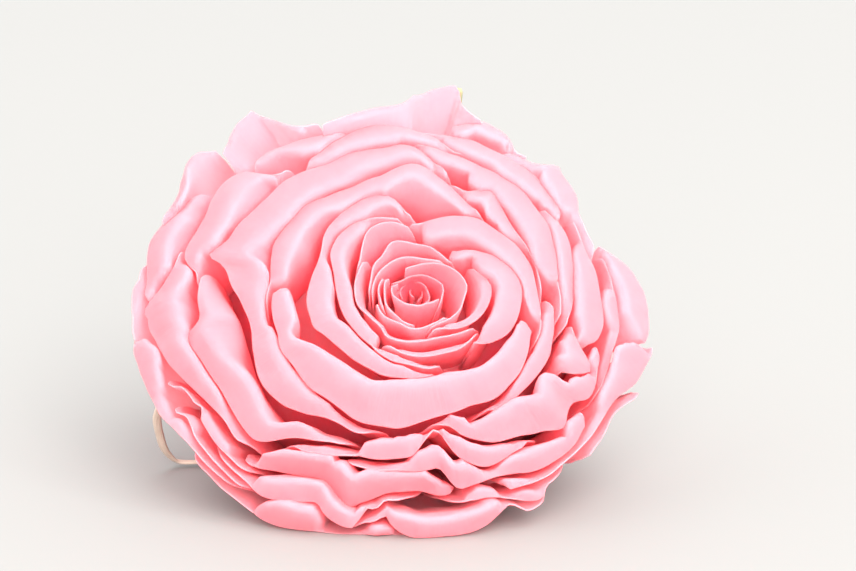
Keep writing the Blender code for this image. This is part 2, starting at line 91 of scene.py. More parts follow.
# Petals from the heart outward. Each row holds its name, the width of its rolled lip (one value, or
# start, middle and end, or by azimuth), how far the rim stands off the dome, and the rim as azimuth and
# radius.
BUD_PETALS = (
    ("bud_1", 0, -5.0, ((-70, 1.1), (0, 0.9), (120, 0.9), (250, 0.8))),
    ("bud_2", 0, -3.4, ((-40, 2.7), (0, 2.0), (45, 1.75), (90, 1.65), (135, 1.8), (170, 1.95), (200, 1.9))),
    ("bud_3", 0, -1.8, (
        (-30, 4.4), (-15, 4.2), (0, 4.35), (15, 4.45), (30, 3.8), (45, 3.2), (75, 2.7), (90, 2.5),
        (120, 2.4), (150, 2.2))),
    ("bud_4", 0, -0.6, (
        (150, 3.6), (165, 3.3), (180, 2.95), (195, 2.75), (210, 2.3), (240, 2.05), (270, 2.0), (285, 2.25),
        (300, 2.35), (315, 2.5), (330, 3.3), (340, 4.2))),
    ("bud_5", 0, 0, ((150, 4.3), (180, 3.9), (210, 4.1), (240, 4.3), (255, 4.8), (270, 5.1))),
    ("bud_6", 0, 0, ((155, 4.5), (165, 4.7), (180, 4.75), (195, 4.6), (210, 4.7))),
    ("bud_7", 0, 0, (
        (205, 5.3), (225, 5.6), (240, 5.3), (255, 5.2), (270, 5.7), (285, 6.1), (300, 6.2), (315, 6.6))),
    ("bud_8", 0, 0, (
        (-60, 6.2), (-50, 6.6), (-40, 7.3), (-30, 7.6), (-22, 8.1), (-15, 8.0), (-5, 8.1), (3, 8.4),
        (10, 8.2), (20, 7.7), (30, 7.2), (40, 6.7), (50, 6.0), (60, 5.3), (80, 4.4), (100, 4.0))),
    ("bud_9", 1.3, 0, (
        (-60, 7.3), (-50, 8.4), (-40, 9.6), (-30, 10.8), (-20, 11.6), (-10, 11.8), (0, 11.8), (8, 11.2),
        (15, 10.0))),
    ("bud_10", 0, 0, (
        (50, 5.6), (60, 5.5), (75, 5.4), (90, 5.5), (105, 5.6), (120, 5.7), (135, 5.6), (150, 5.5),
        (165, 5.5), (180, 5.6))),
    ("bud_11", 0, 0, (
        (42, 6.5), (50, 7.0), (60, 7.4), (70, 7.6), (80, 7.5), (90, 7.65), (100, 8.0), (110, 8.2),
        (120, 7.3), (130, 6.9), (140, 6.7), (150, 6.3), (160, 6.0), (175, 5.9))),
    ("bud_12", 0.4, 0, (
        (92, 10.0), (100, 10.7), (110, 11.0), (118, 10.9), (125, 10.5), (133, 9.8), (143, 8.8),
        (148, 8.1))),
    ("bud_13", 0.8, 0, (
        (148, 8.0), (160, 7.9), (170, 7.9), (180, 7.8), (190, 7.7), (200, 7.6), (210, 7.3), (220, 7.2),
        (235, 7.1), (240, 7.6), (250, 7.9), (260, 8.0), (270, 8.2), (280, 8.4), (290, 8.6), (300, 9.1),
        (310, 9.7), (318, 10.2), (322, 10.7))),
    ("bud_14", 1.0, 0, (
        (255, 9.2), (262, 9.9), (270, 10.6), (280, 11.0), (290, 11.3), (300, 11.6), (308, 12.0),
        (315, 12.2), (320, 12.2))),
)
# The lip of inner_5, as azimuth and width: a narrow roll, a crease, and then the broadest lip
ROLLED_LIP = ((182, 2.0), (188, 2.5), (198, 2.6), (203, 1.6), (209, 2.6), (217, 3.7), (231, 4.7), (245, 5.0),
              (258, 5.6), (267, 6.2), (282, 5.8), (300, 5.0), (315, 4.2), (330, 3.2), (341, 2.0))
INNER_PETALS = (
    ("inner_1", 1.7, 0, (
        (100, 11.3), (105, 11.6), (110, 12.0), (120, 12.4), (130, 12.8), (140, 12.9), (148, 12.6),
        (155, 12.2), (165, 11.2), (172, 10.5), (180, 10.1), (190, 9.9), (200, 9.8), (210, 9.9), (220, 9.9),
        (230, 10.1), (240, 10.3), (250, 10.9), (260, 11.7), (270, 12.2), (278, 12.8), (285, 13.3))),
    ("inner_2", 3.0, 0, (
        (90, 11.5), (93, 13), (99, 15.2), (110, 15.7), (122, 15.4), (135, 14.9), (146, 14.2), (159, 13.4),
        (174, 13.6), (189, 14.1), (199, 14.2), (205.5, 14.4), (213.5, 13.6), (227.5, 13.3), (241.5, 13.5),
        (256, 14), (267, 14.2), (280, 14.4))),
    ("inner_3", 3.5, 0.3, (
        (-42, 12.6), (-38.5, 14.2), (-33, 15.2), (-29, 15.9), (-19.5, 16.7), (-7, 16.8), (4, 16.4),
        (15, 14.5), (22, 13.4), (28, 12.2), (33, 11.2), (40, 9.6), (45, 8.8))),
    ("inner_4", 3.5, 0, (
        (-22, 20.5), (-15, 20.2), (-8, 19.6), (0, 19), (11, 18.6), (19, 17.9), (30, 16.9), (41, 15.9),
        (51.5, 14.6), (65.5, 12.6), (77, 10.9), (86, 10.3))),
    ("inner_5", ROLLED_LIP, 0.8, (
        (182, 18.7), (188, 18.9), (195, 19), (202, 18.9), (207, 19.5), (217, 19.4), (232, 19.9),
        (243, 20.2), (254, 21), (263, 21.1), (268, 21.3), (273.5, 20.9), (282, 20.4), (290.5, 20.3),
        (298, 20.3), (309, 21.1), (315, 21), (324.5, 20.8), (333, 20.1), (341, 19.3))),
    ("inner_6", 3.0, 0, (
        (52, 15.9), (62, 17.3), (67.5, 18.1), (75.5, 19.4), (81.5, 20.3), (87, 20.8), (93, 20.1), (99, 19),
        (105, 18.7), (114, 18.3), (121.5, 18.6), (127, 19.1), (131.5, 19.9), (142.5, 19.9), (153, 20),
        (164, 19.5), (174.5, 18.9), (182, 19.2))),
    ("inner_7", 3.0, 0, (
        (5, 18.9), (16.5, 18.9), (30.5, 18.7), (43.5, 19.7), (48, 20.5), (51.5, 21.1), (54, 20.4),
        (57, 19.2), (63, 17.7))),
)
MIDDLE_PETALS = (
    ("middle_1", (4.0, 5.0, 4.5), 0, (
        (76, 21.6), (81, 23), (85, 24.4), (90, 25), (94.5, 24.7), (101, 24.5), (107.5, 24.5), (115, 24),
        (123, 24.5), (131, 25.1), (140, 25), (147.5, 25.7), (153.5, 26.2), (158, 26.5), (161, 27.3),
        (164.5, 28.2), (168, 25.8), (174.5, 24.4), (181.5, 23.1), (191.5, 22), (202, 22.4), (211.5, 23.5),
        (217, 23.9), (223.5, 23.7), (231.5, 23.2), (239, 22.2), (247, 22), (255, 22.5))),
    ("middle_3", 4.0, 0, (
        (-8, 23), (-2, 22.7), (3.5, 22.3), (9.5, 22.7), (13.5, 23.2), (18.5, 23.7), (25, 24), (30, 24.2),
        (35, 24.4), (40, 24.6), (45, 24.9), (50, 24.9), (55, 24.6), (60, 24.1), (65, 24.2), (70, 24.2),
        (75, 23.7), (80, 23.2), (84, 22.6))),
    ("middle_4", 2.5, 0, (
        (308, 22.4), (314, 22.8), (320, 23), (328, 23.3), (335, 23.3), (341, 22.8), (347, 22.3),
        (352, 22))),
    ("middle_5", 4.5, 0, (
        (-10.5, 24.3), (-5.5, 24.7), (-1, 24.9), (4.5, 25.1), (12, 25.7), (19.5, 26.5), (26, 26.4),
        (34, 25.6))),
    ("middle_6", 2.5, 0, (
        (242, 25.4), (250, 25.6), (257, 25.1), (262.5, 25.3), (269.5, 25.3), (274, 25), (276, 24.2),
        (278.5, 23.4), (281, 22.5), (283.3, 21.9), (285, 22.9), (287.5, 25.3), (290.5, 26.7), (294, 27.9),
        (298, 28.4), (302.5, 28.1), (307, 27.6))),
    ("middle_7", (1.5, 3.5, 1.5), 0, (
        (172.5, 28), (179.5, 28.4), (185.5, 28.5), (188.5, 30), (191.5, 29.9), (199.5, 29.1), (208, 28.5),
        (214.5, 28.6), (221, 29), (227.5, 29.2), (231, 28.2), (236, 26.4), (242.5, 25.3), (249, 24.5))),
    ("middle_8", 4.0, 0, (
        (34, 28.4), (42, 28.9), (47, 29.0), (52, 28.6), (58, 28.6), (64, 28.6), (70, 28.2), (75, 27.2),
        (80, 26.0))),
    ("middle_9", 4.0, 0, (
        (70, 24.3), (75, 25.5), (79, 26.9), (84, 28.2), (88, 29.0), (93, 29.7), (98, 29.7), (103, 29.1),
        (108, 28.4), (113, 27.6), (118, 26.8))),
    ("middle_10", 4.0, 0, (
        (128, 26), (132, 27.6), (134.5, 31), (138.5, 32.3), (145, 32.1), (151.5, 31.7), (160, 31.9),
        (164.5, 31.6), (167.5, 30.3), (170, 28.8))),
    ("middle_11", 5.0, 0, (
        (288, 23.6), (291, 24.6), (298, 25.8), (307.5, 27.1), (316, 28.8), (322, 30.6), (325, 29.7),
        (328.5, 29.5), (332.5, 31.1), (335.5, 31.3), (342, 30.4))),
    ("middle_12", 4.0, 0, (
        (-13.5, 27.5), (-12, 28.6), (-9.5, 29.2), (-6, 29.7), (-3, 29.7), (0, 29.6), (2.5, 29.4),
        (10, 28.9), (18, 28.6), (27, 28.8))),
    ("middle_13", 4.0, 0, (
        (335, 27.4), (337.5, 28.8), (339.5, 29.5), (343.5, 27.2), (346.5, 25.6), (349.5, 24.4))),
)
OUTER_PETALS = (
    ("outer_1", (5.0, 3.5, 3.0), -2.0, (
        (229, 32.5), (231.5, 32.3), (235.5, 31.5), (242.5, 30.2), (248.5, 29.3), (251, 29.7),
        (254.5, 30.8), (258, 31.6), (261, 30.8), (264.5, 30), (268.5, 29.3), (275.5, 29.1), (281, 29.6),
        (284, 29.5))),
    ("outer_2", (1.5, 3.0, 4.0), 0, (
        (257, 26.2), (259.5, 26.3), (266.5, 26.7), (274, 26.9), (280, 26.9), (282.5, 26.9), (284.5, 27.9),
        (286.5, 29.4), (288, 30.2), (291.5, 30.1), (297.5, 30.2), (303.5, 31.1), (307, 31.9),
        (312.5, 32.5), (318, 32.9), (322, 32.9), (326, 32.5))),
    ("outer_3", 4.0, 0, (
        (-22, 31.7), (-17, 31.8), (-12, 31.9), (-9, 32.2), (-7, 32.2), (-4, 32.3), (2, 32), (8, 31.6),
        (14, 31.4))),
    ("outer_4", 4.0, 0, (
        (53, 30), (56, 30), (57.5, 30.9), (61, 33.3), (64, 34.1), (67.5, 34.9), (69.5, 33.8), (71, 32.6),
        (74, 31.2))),
    ("outer_5", 4.0, 0, (
        (164, 31.9), (168, 32.4), (172.5, 33.6), (175, 34.8), (178, 35.8), (180, 35.2), (183, 35.1),
        (188.5, 34.2), (197.5, 32.5), (208, 30.8), (217, 30.1), (223, 30.3))),
    ("outer_6", 3.5, 0, ((98, 29.6), (110, 30.2), (119, 31.0), (126, 31.6))),
    ("outer_7", 3.0, 0, (
        (292, 31.8), (297, 32.6), (300, 33.4), (303, 34.2), (306.5, 34.7), (308, 34.3), (309.5, 33.4))),
    ("outer_8", 2.5, 0, (
        (226, 33.3), (232.5, 33.4), (237, 33.9), (242, 33.3), (246.5, 32.5), (250.5, 32.1), (253, 33.1),
        (256.5, 33.9), (259.5, 34.1), (261, 33.7), (262, 31.9), (263.5, 31.3), (264.5, 31.7), (266, 30.6),
        (267.5, 30.1))),
    ("outer_9", 1.0, 0, (
        (199.5, 33.9), (201, 32.8), (204.5, 32.2), (207, 32.1), (209.5, 31.6), (211.5, 32.4), (216, 32.7),
        (222, 32.9), (228, 32.9))),
)
GUARD_PETALS = (
    ("guard_1", 2.0, 0, (
        (266, 30.6), (267.5, 30.2), (268.5, 31.1), (271, 32.7), (274.5, 34), (278, 34.8), (284, 35.1),
        (288.5, 35.2), (293, 34.9), (295.5, 34.3), (299, 33.4), (300.5, 34), (303, 35))),
    ("guard_2", 2.5, -1.5, (
        (222, 35.2), (228, 35.4), (233, 35.6), (235.5, 35.8), (238.5, 36), (243, 36), (247.5, 35.7),
        (253, 35.3), (259, 34.8), (264, 34.5), (266, 34.7), (268, 34.4), (271.5, 34))),
    ("guard_3", (3.0, 3.5, 13.0), 1.0, (
        (300, 33.9), (310, 33.9), (321.5, 34), (326.5, 34.2), (330.5, 34.3), (334, 34.4), (338, 34.7),
        (341, 35.4), (344, 36.2), (347, 36.8), (350.5, 37.3), (353, 37.8), (355, 37.9))),
    ("guard_4", 4.0, -0.5, (
        (-4.5, 37), (-1.5, 37.4), (3.5, 37.4), (8.5, 36.5), (13.5, 35.2), (16.5, 33.4), (19, 31.6))),
    ("guard_5", 4.5, 0, (
        (20, 30.4), (24, 30.2), (30.5, 30.8), (35, 32.3), (39, 33.4), (44, 34.4), (46, 34.9), (47.5, 32.9),
        (49, 31.6), (54, 30.9))),
    ("guard_6", 1.0, 4.0, (
        (69.5, 33.4), (71, 34.2), (72.5, 35.2), (74.5, 37.6), (76.3, 41.5), (77.5, 42.9), (80, 42.4),
        (82, 42), (84.5, 39.9), (87, 36.8), (89.5, 35.1), (95, 33.9), (101, 33.2), (108, 32.9))),
    ("guard_7", 1.0, 3.0, (
        (110, 33.3), (114.5, 34), (116, 36), (117.3, 40.6), (118.5, 43.3), (120, 42.9), (123.5, 42.3),
        (127, 40.2), (130, 38.4))),
    ("guard_8", 1.5, 2.5, (
        (130.8, 40.2), (132.5, 41.6), (136.5, 41.4), (140, 39.7), (144, 38), (147.5, 36.9), (152, 36.4))),
    ("guard_9", 3.0, 0, (
        (149, 35.6), (152, 36.8), (155, 37.6), (159, 37.9), (163, 37.2), (167.5, 36.5), (171, 36.2))),
    ("guard_10", 3.5, 0, (
        (168, 36.4), (170.5, 37.1), (175.5, 37.4), (182, 37.3), (184, 36.9), (187.5, 37.2), (191.5, 36.9),
        (195.5, 36.6), (200.5, 36.4), (204, 36.3), (210, 35.6), (216, 35.4), (224, 35.2))),
    ("guard_11", 0.8, 0, ((206, 34.6), (208.5, 33.8), (211.5, 33.8), (215, 34.3), (222, 34.4), (230, 34.6))),
    ("guard_12", 1.2, -0.5, (
        (322, 34.9), (328, 35.1), (334.5, 35.2), (338, 35.9), (341, 36.9), (343, 37.3))),
)

# The groups of petals, from the heart outward, and what holds for each:
# start   where the shown part of a petal starts, between its root and its lip
# tail    degrees that it goes on past the ends of its drawn rim
# room    distance that its rim keeps to its neighbours
# ruffle  height of the waves along its rim
# dip     how far below the crest of its inner neighbour it comes up
# calm    degrees to each side over which its drawn rim is averaged
# rise    slope of its rolled lip
# depth   share of its depth below the face that deepens its colour as painted shade
GROUP_KEYS = ("petals", "start", "tail", "room", "ruffle", "dip", "calm", "rise", "depth")
GROUPS = tuple(dict(zip(GROUP_KEYS, values)) for values in (
    (BUD_PETALS, 0.40, 16.0, 0.42, 0.05, 4.5, 4.0, 0.2, 1.0),
    (INNER_PETALS, 0.30, 14.0, 0.7, 0.08, 3.6, 2.0, 0.2, 1.0),
    (MIDDLE_PETALS, 0.30, 13.0, 0.8, 0.15, 0.6, 0.7, 0.12, 0.7),
    (OUTER_PETALS, 0.20, 13.0, 0.8, 0.2, 0.4, 0.4, 0.12, 0.3),
    (GUARD_PETALS, 0.04, 13.0, 0.8, 0.25, 0.3, 0.4, 0.12, 0.1),
))
ALL_PETALS = tuple(petal for group in GROUPS for petal in group["petals"])
ROW_OF = {petal[0]: row for row, petal in enumerate(ALL_PETALS)}


def by_petal(key, **own):
    """What holds for each petal by name: its group's value, or its own where it has one."""
    return {petal[0]: group[key] for group in GROUPS for petal in group["petals"]} | own


TAILS = by_petal("tail", inner_3=3.0, inner_4=4.0, inner_5=6.0, middle_3=5.0, middle_5=5.0, middle_7=8.0,
                 middle_10=6.0, middle_12=3.0, middle_13=3.0, outer_1=5.0, outer_2=6.0, outer_3=8.0,
                 outer_4=3.0, outer_5=8.0, outer_9=6.0, guard_3=2.0, guard_4=3.0, guard_6=4.0, guard_7=4.0,
                 guard_8=4.0, guard_11=6.0, guard_12=2.0)
ROOMS = by_petal("room")
CALMS = by_petal("calm")
DIPS = by_petal("dip", inner_2=4.5, inner_3=5.0, inner_5=7.5, inner_6=7.0, middle_1=1.0, middle_4=0.3,
                middle_5=-0.6, middle_6=1.0, middle_7=1.2, middle_8=-0.3, middle_11=0.3, middle_12=-0.6,
                middle_13=-0.4, outer_1=0.0, outer_2=0.0, outer_3=-0.6, guard_1=2.5, guard_3=-1.0,
                guard_4=-0.6, guard_5=-0.3)
RISES = by_petal("rise", outer_1=0.6, guard_1=0.3, guard_2=0.7)
# How near its own crest, instead of its inner neighbour, a petal starts to fall inward
STEEPNESS = dict(inner_5=0.8, guard_1=0.6)

# Directions round the flower at which neighbouring rims are kept apart, and passes over them
DIRECTIONS = 240
DIRECTION_STEP = 360 / DIRECTIONS
PASSES = 80
# How far a rim gives way to a neighbour: this little along its drawn part, and 1 at a hidden end. What it
# says about the side that the neighbour lies on counts by the full trust less that.
DRAWN_GIVE = 0.02
FULL_TRUST = 1.05
# After each pass the moves of a rim are evened: directions to each side, and by what share
EVEN_REACH = 2
EVEN_SHARE = 0.3

# Shape of a petal from root to lip, as shares of its reach and rise: free, and where it is pressed
# by the surface
ROOT_REACH = (0.62, 0.28)
ROOT_RISE = (0.05, 0.24)
BELLY_REACH = (0.92, 0.70)
BELLY_RISE = (0.55, 0.60)
PRESSED_POWER = 1.5
# The back of the head bulges no further than this near the petals' roots
BACK_RADIUS = 24.0
# A petal whose rim lies at this radius, or further out, grows from the bottom of the core
FULL_ROOT_RADIUS = 30.0

# The rolled lip: how much higher than its slope it is, and the width at which it is a full roll
LIP_ROUND = 0.3
LIP_FULL = 1.5
# It narrows to this share at a petal's ends, over this share of the rim
LIP_END = 0.4
LIP_FADE = 0.3
# Without a lip, a petal comes straight up to its edge from this far below it
UPRIGHT_REACH = 2.0
# A lip stays this far from the next rim inside it. Rims closer than the second value are one layer.
PETAL_CLEARANCE = 0.6
SAME_LAYER = 0.3
# A petal passes this far outside the next rim inside it, and this far or more below its own crest
HELD_ROOM = 0.5
HELD_BELOW = 0.5
# Least distance from there up to the crest, and how far towards the petal's foot its next point lies
LEAST_RUN = 4.0
UNDER_SHARE = 0.25
# Columns to each side over which the room for a lip is averaged, over which the highest inner neighbour
# counts, and over which that one is averaged
ROOM_CALM = 3
NEIGHBOUR_REACH = 3
NEIGHBOUR_CALM = 6
# A rim may give way to its neighbours over these last degrees of its drawn line
END_GIVE = 4.0

# Fineness of a petal: millimetres between columns at its mean radius, or at the least radius where that
# is more, its least columns, and its rows from root to lip
COLUMN_STEP = 0.7
LEAST_RADIUS = 3.0
LEAST_COLUMNS = 12
ROWS = 34
ROW_POWER = 1.8
# At its ends a petal is this share of its full height, and how roundly it falls to that
TAIL_FALL = 0.3
TAIL_POWER = 2.2
# Waves along a rim reach this far down the petal. For each kind: its length, its height as a share, and
# where its noise is read, as a step from petal to petal and a plane.
RUFFLE_REACH = 9.0
RUFFLE_GAIN = 1.6
RUFFLES = ((7.5, 1.0, 7.3, 0.0), (3.2, 0.3, 3.1, 5.0))
# Bends that all petals share: their size, how many sizes are added up, and their height
BEND_SIZE = 6.0
BEND_OCTAVES = 2
BEND_HEIGHT = 0.35
# The place in the noise that these bends are read from, the same in each run
BEND_SEED = 1

# The core that the petals stand out of, as radius and height, and how far it is pressed in where it lies
CORE_PROFILE = ((0, 1.0), (12, 1.2), (19, -1.5), (25.5, -7.5), (26, -13.5), (17, -20.4), (5, -26.4),
                (0, -26.4))
PRESSED_CORE = 0.30
CORE_SIDES = 64

# The hip below the petals, and the stub of stem below it
HIP_PROFILE = ((0, -27.1), (4.4, -27.1), (5.2, -27.3), (5.6, -28.0), (5.4, -28.9), (4.7, -29.8),
               (3.8, -30.5), (3.0, -30.8), (0, -30.8))
STEM_PROFILE = ((0, -31.1), (2.3, -31.1), (2.5, -31.3), (2.45, -32.4), (2.5, -33.6), (2.45, -34.8),
                (2.5, -35.3), (2.35, -35.5), (1.6, -35.4), (0.8, -35.2), (0, -35.2))
TURNED_STEP = 0.25
TURNED_SIDES = 72

# Sepals: azimuth, half width, and the middle line as radius and height. The first one's tip shows above
# the face.
SEPALS = (
    (76, 2.8, ((4.0, -28.4), (14, -27.0), (24, -25.2), (31.0, -18.5), (36.0, -11.0), (40.0, -5.4),
               (41.6, -2.9))),
    (150, 3.2, ((4.0, -28.4), (11, -29.0), (17, -27.6), (22, -24.6))),
    (6, 3.2, ((4.0, -28.4), (11, -29.6), (18, -29.6), (24, -27.4))),
    (300, 2.4, ((4.0, -28.4), (7.5, -27.2), (10.5, -25.6))),
)
SEPAL_THICKNESS = 0.6
SEPAL_TIP = 0.25
SEPAL_TAPER = 0.8
SEPAL_KEEL = 0.6
SEPAL_ROWS = 60
SEPAL_LENGTH = 30.0
# The uneven edges of the sepals: waves along one, their height as a share, and the step to the next sepal
NOTCHES = 14
NOTCH_SHARE = 0.12
NOTCH_STEP = 9.1
RIBBON_COLUMNS = 9
# The thread of the fifth sepal, lying: x and y from the ring's middle, and height above the surface
THREAD_WIDTH = 0.9
THREAD_THICKNESS = 0.45
THREAD_KEEL = 0.3
THREAD_ROWS = 120
THREAD = ((-2.5, 20.5, 6.2), (-9, 19.0, 4.6), (-17, 15.5, 2.2), (-24, 11.5, 0.9), (-28.2, 9.5, 0.8),
          (-31.8, 9.4, 0.9), (-33.5, 7.2, 3.2), (-34.2, 4.4, 6.8), (-34.3, 2.2, 9.6), (-33.7, 0.2, 12.0))

# Colours, as linear red, green and blue
PETAL_PINK = (0.99, 0.285, 0.335)
PETAL_LIP = (0.99, 0.28, 0.325)
# Painted shade: a deeper red for where a petal lies deep in the gaps between petals, where shade falls
PETAL_PAINTED_SHADE = (0.99, 0.13, 0.19)
PETAL_PALE = (0.99, 0.31, 0.35)
PETAL_VEIN = (0.99, 0.20, 0.245)
PETAL_MARGIN = (0.99, 0.29, 0.315)
# Light that comes through a petal: its share of the finish, and its colour
PETAL_THROUGH = 0.56
PETAL_GLOW = (1.0, 0.66, 0.70)
# The painted shade is up to this many times stronger again in the heart, within this radius
HEART_PAINTED_SHADE = 2.0
HEART_RADIUS = 14.0
# What a colour is blended in by: the values that it runs over, and the shares of the colour meanwhile, if
# not 0 to 1. For the lip and the margin that is the distance from the margin. The grain sets the roughness.
LIP_SPAN = (0.5, 8.0)
MARGIN_SPAN = (0.0, 0.3, 0.5, 0.0)
# Depths below the face over which the painted shade comes in
PAINTED_SHADE_SPAN = (1.5, 9.0)
SPOT_SPAN = (0.35, 0.7, 0.0, 0.3)
VEIN_SPAN = (0.52, 0.75, 0.0, 0.22)
GRAIN_SPAN = (0.3, 0.7, 0.7, 0.85)
# Noises on a piece: how many a millimetre, across it and along it
SPOT_SCALE = (0.10, 0.07)
VEIN_SCALE = (1.1, 0.10)
GRAIN_SCALE = (4.0, 1.5)
STREAK_SCALE = (5.0, 0.2)
# The veins are finer: their octaves and how rough those are
VEIN_DETAIL = (3.0, 0.6)
# Relief of veins and grain: the grain's share in it, its distance in metres, and its strength
GRAIN_RELIEF = 0.3
PETAL_RELIEF = (0.0003, 0.35)
PETAL_SHADER = {"Sheen Weight": 0.1, "Specular IOR Level": 0.12, "Subsurface Weight": 0.8,
                "Subsurface Radius": (1.0, 0.3, 0.35), "Subsurface Scale": 0.002}
# Dried tissue: its light and dark colour and its roughness, then patches a metre and their octaves. The
# colour follows patches and streaks over one span, and the roughness patches alone over the other.
DRIED_GREEN = ((0.34, 0.32, 0.18), (0.20, 0.22, 0.10), 0.7)
DRIED_STRAW = ((0.56, 0.44, 0.36), (0.44, 0.33, 0.265), 0.6)
PATCHES = (350.0, 3.0)
DRIED_SPAN = (0.35, 0.65)
DRIED_ROUGH_SPAN = (0.3, 0.7)
DRIED_ROUGH_SPREAD = 0.1
DRIED_RELIEF = (0.0004, 0.6)

# The studio, in metres and watts. For each light: its name, place, size and energy.
FLOOR_SIZE = 8.0
FLOOR_COLOUR = (0.226, 0.223, 0.216)
FLOOR_ROUGHNESS = 0.8
SKY_COLOUR = (1.0, 1.0, 1.0)
SKY_STRENGTH = 2.3
LIGHT_COLOUR = (1.0, 0.99, 0.97)
LIGHT_TARGET = (0.0, 0.0, 0.02)
LIGHTS = (("key", (1.1, -1.3, 2.2), 2.2, 80.0), ("fill", (0.4, -3.0, 1.2), 2.6, 255.0))


def smooth_curve(points, at):
    """Values of a smooth curve through the points, level beyond its ends."""
    xs = np.array([p[0] for p in points], float)
    ys = np.array([p[1] for p in points], float)
    widths = np.diff(xs)
    slopes = np.zeros(len(xs))
    slopes[1:-1] = (ys[2:] - ys[:-2]) / (xs[2:] - xs[:-2])
    x = np.clip(np.asarray(at, float), xs[0], xs[-1])
    i = np.clip(np.searchsorted(xs, x, side="right") - 1, 0, len(xs) - 2)
    return between((x - xs[i]) / widths[i], widths[i], ys[i], slopes[i], ys[i + 1], slopes[i + 1])


def between(t, width, start, start_slope, end, end_slope):
    """Values at shares t of a width, on a smooth curve from start to end with these slopes."""
    return ((1 + 2 * t) * (1 - t) ** 2 * start + t * (1 - t) ** 2 * width * start_slope
            + t * t * (3 - 2 * t) * end + t * t * (t - 1) * width * end_slope)


def mix(a, b, share):
    return a + (b - a) * share


def column(values):
    return np.asarray(values)[:, None]


def rim_points(azimuth, radius, lift):
    """Points of the face at azimuths and radii, raised off the dome by a lift."""
    a = np.radians(azimuth)
    shift = HEART_SHIFT * np.maximum(0.0, 1 - radius / HEART_REACH)
    return np.stack([shift + radius * np.cos(a),
                     radius * np.sin(a) - RISE_SLIDE * lift,
                     smooth_curve(DOME, radius) + lift], axis=1)


def lip_widths(lip, share):
    """Width of the rolled lip at shares of the way along the rim."""
    fade = np.minimum(1.0, np.minimum(LIP_END + share / LIP_FADE, LIP_END + (1 - share) / LIP_FADE))
    if not isinstance(lip, tuple):
        return lip * fade
    return smooth_curve(((0.0, lip[0]), (0.5, lip[1]), (1.0, lip[2])), share) * fade


def directions_of(petal):
    """The directions round the flower that a petal passes, as unwrapped numbers."""
    name, _, _, rim = petal
    first = math.floor((rim[0][0] - TAILS[name]) / DIRECTION_STEP)
    last = math.ceil((rim[-1][0] + TAILS[name]) / DIRECTION_STEP)
    return np.arange(first, last + 1)


def arrange_rims():
    """Changes of the drawn radii by petal and direction, which lead hidden ends between their neighbours."""
    radii = np.full((len(ALL_PETALS), DIRECTIONS), np.nan)
    loose = np.zeros_like(radii)
    rooms = np.array([ROOMS[petal[0]] for petal in ALL_PETALS])
    for row, petal in enumerate(ALL_PETALS):
        numbers = directions_of(petal)
        azimuth = numbers * DIRECTION_STEP
        radii[row, numbers % DIRECTIONS] = drawn_radius(petal, azimuth)
        beyond = np.maximum(petal[3][0][0] - azimuth, azimuth - petal[3][-1][0])
        loose[row, numbers % DIRECTIONS] = np.clip((beyond + END_GIVE) / END_GIVE, DRAWN_GIVE, 1.0)
    drawn = radii.copy()
    pairs = []
    for a in range(len(ALL_PETALS)):
        for b in range(a + 1, len(ALL_PETALS)):
            both = ~np.isnan(radii[a]) & ~np.isnan(radii[b])
            if both.any():
                trust = (FULL_TRUST - loose[a, both]) * (FULL_TRUST - loose[b, both])
                side = np.sign(np.sum((radii[b, both] - radii[a, both]) * trust))
                pairs.append((a, b, both, side or 1.0))
    for _ in range(PASSES):
        for a, b, both, side in pairs:
            lack = min(rooms[a], rooms[b]) - side * (radii[b, both] - radii[a, both])
            give = np.maximum(lack, 0.0) / (loose[a, both] + loose[b, both])
            radii[b, both] += side * give * loose[b, both]
            radii[a, both] -= side * give * loose[a, both]
        for row, petal in enumerate(ALL_PETALS):
            numbers = directions_of(petal) % DIRECTIONS
            change = radii[row, numbers] - drawn[row, numbers]
            change = mix(change, calmed(change, EVEN_REACH), EVEN_SHARE)
            radii[row, numbers] = drawn[row, numbers] + change
    return radii - drawn


def rim_radius(petal, azimuth):
    """Radius of a petal's rim at azimuths, as arranged."""
    numbers = directions_of(petal)
    moved = RIM_CHANGES[ROW_OF[petal[0]], numbers % DIRECTIONS]
    return drawn_radius(petal, azimuth) + np.interp(azimuth, numbers * DIRECTION_STEP, moved)


def drawn_radius(petal, azimuth):
    """Radius of a petal's rim as drawn, averaged a little along it."""
    reach = CALMS[petal[0]]
    line = smooth_curve(petal[3], azimuth) / 2
    return line + (smooth_curve(petal[3], azimuth - reach) + smooth_curve(petal[3], azimuth + reach)) / 4


def room_inside(petal, azimuth, radius):
    """Distance from a rim to the next rim inside it."""
    nearest = np.zeros(len(azimuth))
    for other in ALL_PETALS:
        if other is petal:
            continue
        first, last = directions_of(other)[[0, -1]] * DIRECTION_STEP
        for turn in (-360, 0, 360):
            place = azimuth + turn
            inner = rim_radius(other, place)
            hides = (place >= first) & (place <= last) & (inner < radius - SAME_LAYER)
            nearest = np.where(hides, np.maximum(nearest, inner), nearest)
    return radius - nearest


